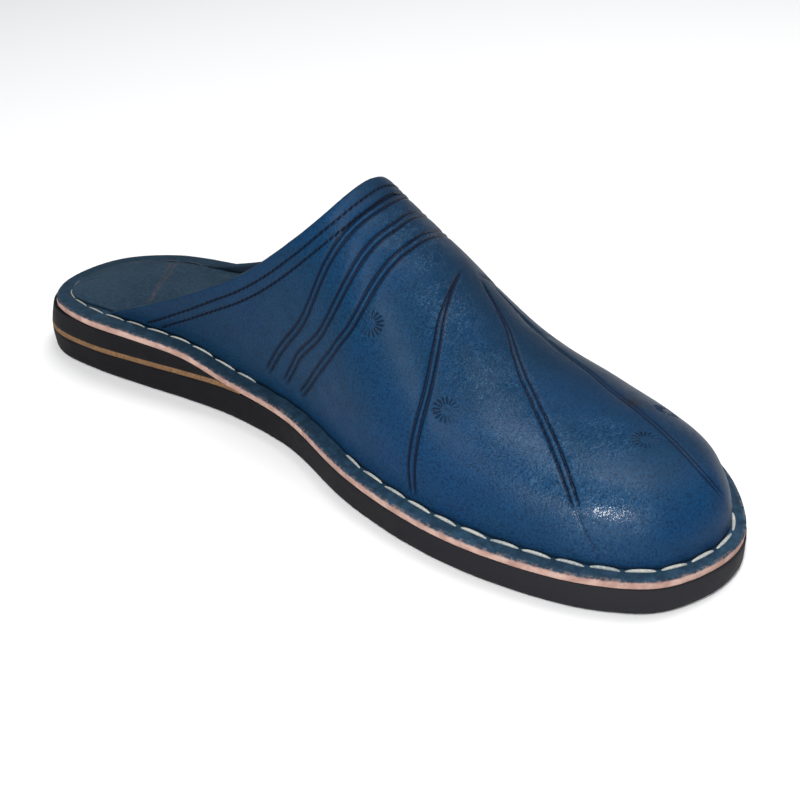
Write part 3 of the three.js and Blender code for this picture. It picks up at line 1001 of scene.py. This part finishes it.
upper_tree = BVHTree.FromObject(upper, bpy.context.evaluated_depsgraph_get())
rows = []
for number, line in enumerate(seam_lines):
    settled = [upper_tree.find_nearest(Vector(place)) for place in line]
    seats = np.array([tuple(found[0]) for found in settled])
    ups = np.array([tuple(found[1]) for found in settled])
    fine = thread_stitch("fine_stitch", FINE_RINGS, 0.7, 6)
    starts = np.arange(2 * MM, len(line) * 0.5 * MM - 2 * MM, FINE_PITCH)
    rows.append(lay_stitches(f"collar_stitches_{number + 1}", fine, seats, ups, starts, False, 0.08, slant=FINE_SLANT))
for row in rows:
    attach(row, "root")
print({row.name: len(row.data.polygons) for row in rows})

# %% [markdown]
# ## The footbed
# The footbed is soft lining leather over a thin pad. Its edge is tucked under the upper and meets
# the rim's stitches at the heel. Wear has drawn a long shallow crease down the heel, and a band of
# rust-coloured tacking thread shows across it.

# %% Shape the footbed
# x and y in mm, then half width and depth in mm
FOOTBED_CREASES = [
    ([(-130, -3), (-112, 4), (-90, 21), (-76, 33)], 1.0, 0.45),
    ([(-109, 27), (-102, 14), (-95, -1), (-87, -16)], 0.5, 0.2),
    ([(-107, 29), (-99, 12), (-93, -4), (-89, -17)], 0.5, 0.2),
]

footbed = working_copy("footbed", "padded_footbed")
apply_modifier(footbed, "BEVEL", width=0.35 * MM, segments=2, limit_method="ANGLE", angle_limit=math.radians(40))
subdivide_surface(footbed, 3)
places = points_of(footbed)
facing = normals_of(footbed)
sunk = np.zeros(len(places))
rust = np.zeros(len(places))
for rows_xy, half_width, crease_depth in FOOTBED_CREASES:
    line = smooth_line([(x * MM, y * MM, 0) for x, y in rows_xy], 0.5 * MM)
    distance, _ = nearest_on(line, places * np.array([1, 1, 0]))
    sunk += crease_depth * MM * bell(distance, half_width * MM)
    if half_width < 1:
        rust = np.maximum(rust, bell(distance, 0.45 * MM))
for number, place in enumerate(places):
    sunk[number] -= 0.25 * MM * noise.noise(Vector(place) * 35)
places[:, 2] -= sunk * (facing[:, 2] > 0.3)
set_points(footbed, places)
set_attribute(footbed, "rust", rust)
only(footbed)
bpy.ops.object.shade_smooth()
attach(footbed, "root")
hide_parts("footbed")
print("footbed faces:", len(footbed.data.polygons))

# %% [markdown]
# ## Finishes of the sole
# The rubber is matt and nearly black, with a fine open-cell grain and a little pale dust. The shim
# is bare tan leather. The midsole is blue on top and pinkish on its cut edge, with a ragged border
# where the dye stopped, so its colour depends on how far a point lies below the rim's top.

# %% Rubber
rubber = material_named("black_rubber")
pores = noise_of(rubber, 0.7, 4, 0.7)
dust = noise_of(rubber, 9, 6, 0.65)
rubber_base = mix(rubber, between(rubber, dust, 0.45, 0.8, 0.0, 0.7), (0.004, 0.004, 0.0055), (0.013, 0.013, 0.016))
# Painted sheen: the rubber turns a lighter grey the nearer it lies to the toe.
rubber_base = mix(rubber, reckon(rubber, "MULTIPLY", attribute_of(rubber, "toward_toe"), 0.6), rubber_base, (0.026, 0.026, 0.031))
rubber_normal = bump(rubber, pores, 0.12, 0.5)
finish_material(rubber, rubber_base, between(rubber, dust, 0.3, 0.8, 0.62, 0.8), rubber_normal, Specular_IOR_Level=0.1)
for piece in (outsole, wedge):
    set_attribute(piece, "toward_toe", np.clip((points_of(piece)[:, 0] / MM + 20) / 140, 0, 1))
    piece.data.materials.append(rubber)
print("rubber nodes:", len(rubber.node_tree.nodes))

# %% Tan shim
tan = material_named("tan_leather")
fibre = noise_of(tan, 1.2, 5, 0.7)
tan_base = mix(tan, between(tan, fibre, 0.3, 0.75), (0.115, 0.06, 0.026), (0.25, 0.145, 0.075))
finish_material(tan, tan_base, 0.8, bump(tan, fibre, 0.1, 0.6), Specular_IOR_Level=0.15)
shim.data.materials.append(tan)
print("tan leather nodes:", len(tan.node_tree.nodes))

# %% Midsole leather, blue on top and bare on its edge
bare = material_named("dyed_and_bare_leather")
depth_below = attribute_of(bare, "below_top")
inside_edge = attribute_of(bare, "inside_edge")
ragged = noise_of(bare, 1.6, 5, 0.7)
streak = noise_of(bare, 5, 3, 0.5)
bleed = reckon(bare, "ADD", depth_below, reckon(bare, "MULTIPLY", reckon(bare, "SUBTRACT", ragged, 0.5), 1.4))
bare_share = reckon(bare, "MULTIPLY", between(bare, bleed, -0.1, 0.9), between(bare, depth_below, 0.06, 0.3))
flesh = mix(bare, between(bare, streak, 0.3, 0.7), (0.34, 0.2, 0.165), (0.5, 0.335, 0.285))
flesh = mix(bare, between(bare, ragged, 0.5, 0.85, 0.0, 0.4), flesh, (0.19, 0.12, 0.1))
dyed = mix(bare, between(bare, noise_of(bare, 3, 5, 0.65), 0.35, 0.7), (0.007, 0.023, 0.044), (0.016, 0.047, 0.083))
rubbed = reckon(bare, "MULTIPLY", between(bare, inside_edge, 0.2, 1.6, 0.75, 0.0), between(bare, ragged, 0.45, 0.62))
dyed = mix(bare, rubbed, dyed, (0.17, 0.13, 0.12))
dyed = mix(bare, reckon(bare, "MULTIPLY", attribute_of(bare, "heelward"), 0.75), dyed, (0.007, 0.019, 0.031))
bare_base = mix(bare, bare_share, dyed, flesh)
finish_material(bare, bare_base, 0.72, bump(bare, ragged, 0.25, 0.6), Specular_IOR_Level=0.15)
midsole.data.materials.append(bare)
print("midsole leather nodes:", len(bare.node_tree.nodes))

# %% Threads
wax = material_named("waxed_thread")
twist = noise_of(wax, 0.8, 3, 0.6)
wax_base = mix(wax, between(wax, noise_of(wax, 18, 3), 0.35, 0.65), (0.36, 0.37, 0.34), (0.2, 0.23, 0.24))
wax_base = mix(wax, between(wax, twist, 0.35, 0.75, 0.0, 0.5), wax_base, (0.6, 0.58, 0.52))
wax_base = mix(wax, reckon(wax, "MULTIPLY", attribute_of(wax, "worn"), 0.55), wax_base, (0.16, 0.16, 0.15))
wax_base = mix(wax, attribute_of(wax, "dyed"), wax_base, (0.008, 0.018, 0.03))
finish_material(wax, wax_base, 0.6, bump(wax, twist, 0.15, 0.7))
rim_stitches.data.materials.append(wax)
navy = material_named("navy_thread")
navy_base = mix(navy, noise_of(navy, 0.6, 2), (0.001, 0.003, 0.008), (0.003, 0.008, 0.018))
finish_material(navy, navy_base, 0.7, bump(navy, noise_of(navy, 0.4, 2), 0.05, 0.5), Specular_IOR_Level=0.08)
for row in rows:
    row.data.materials.append(navy)
print("thread materials ready")

# %% Footbed leather
slate = material_named("slate_leather")
slate_cloud = noise_of(slate, 22, 4, 0.6)
slate_base = mix(slate, between(slate, slate_cloud, 0.3, 0.7), (0.009, 0.023, 0.040), (0.015, 0.034, 0.055))
slate_base = mix(slate, between(slate, noise_of(slate, 1.3, 3), 0.4, 0.8, 0.0, 0.4), slate_base, (0.04, 0.062, 0.085))
threads = reckon(slate, "MULTIPLY", attribute_of(slate, "rust"), between(slate, noise_of(slate, 1.6, 2), 0.35, 0.6))
slate_base = mix(slate, reckon(slate, "MULTIPLY", threads, 0.5), slate_base, (0.085, 0.05, 0.042))
finish_material(slate, slate_base, 0.62, bump(slate, cells_of(slate, 0.9), 0.08, 0.4), Specular_IOR_Level=0.1)
footbed.data.materials.append(slate)
print("footbed leather nodes:", len(slate.node_tree.nodes))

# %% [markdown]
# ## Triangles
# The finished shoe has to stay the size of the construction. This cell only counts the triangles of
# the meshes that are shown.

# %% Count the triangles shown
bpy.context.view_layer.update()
triangles = sum(
    len(polygon.vertices) - 2 for each in bpy.data.objects
    if each.type == "MESH" and not each.hide_render for polygon in each.data.polygons
)
print("triangles shown:", triangles)
